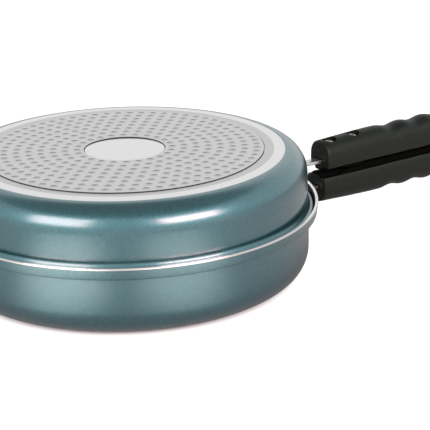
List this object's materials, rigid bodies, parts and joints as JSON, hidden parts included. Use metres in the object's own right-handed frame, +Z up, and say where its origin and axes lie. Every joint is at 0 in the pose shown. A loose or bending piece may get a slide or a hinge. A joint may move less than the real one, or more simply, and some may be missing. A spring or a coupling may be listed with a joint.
{
  "type": "double omelette pan",
  "caption": "Double-sided omelette pan: two nested round pans with discs for induction hobs and a pair of long handles; turns over and lifts apart.",
  "frame": {"origin": "on the pans' axis, in the plane that the lower base stands on", "axes": "+Z up along the pans' axis, +X from the pans towards the ends of the handles"},
  "size_m": [0.4475, 0.24, 0.0791],
  "materials": {
    "pan_enamel": "metallic teal coating on pressed aluminium, bare turned base ring and rim",
    "steel_disc": "dimpled stainless steel",
    "bracket_steel": "satin stainless steel",
    "rivet_aluminium": "bare",
    "phenolic": "satin black phenolic resin",
    "screw_steel": "zinc-plated steel"
  },
  "bodies": {
    "lower_half": {"lower_pan": "pan_enamel", "lower_induction_disc": "steel_disc", "lower_handle_bracket": "bracket_steel", "lower_rivet_right": "rivet_aluminium", "lower_rivet_left": "rivet_aluminium", "lower_handle": "phenolic", "lower_handle_screw_near": "screw_steel", "lower_handle_screw_far": "screw_steel"},
    "upper_half": {"upper_pan": "pan_enamel", "upper_induction_disc": "steel_disc", "upper_handle_bracket": "bracket_steel", "upper_rivet_right": "rivet_aluminium", "upper_rivet_left": "rivet_aluminium", "upper_handle": "phenolic", "upper_handle_screw_near": "screw_steel", "upper_handle_screw_far": "screw_steel"}
  },
  "joints": [
    {"name": "lift_off", "type": "slide", "parent": "lower_half", "child": "upper_half", "axis": [0, 0, 1], "range_m": [0, 0.06]}
  ]
}
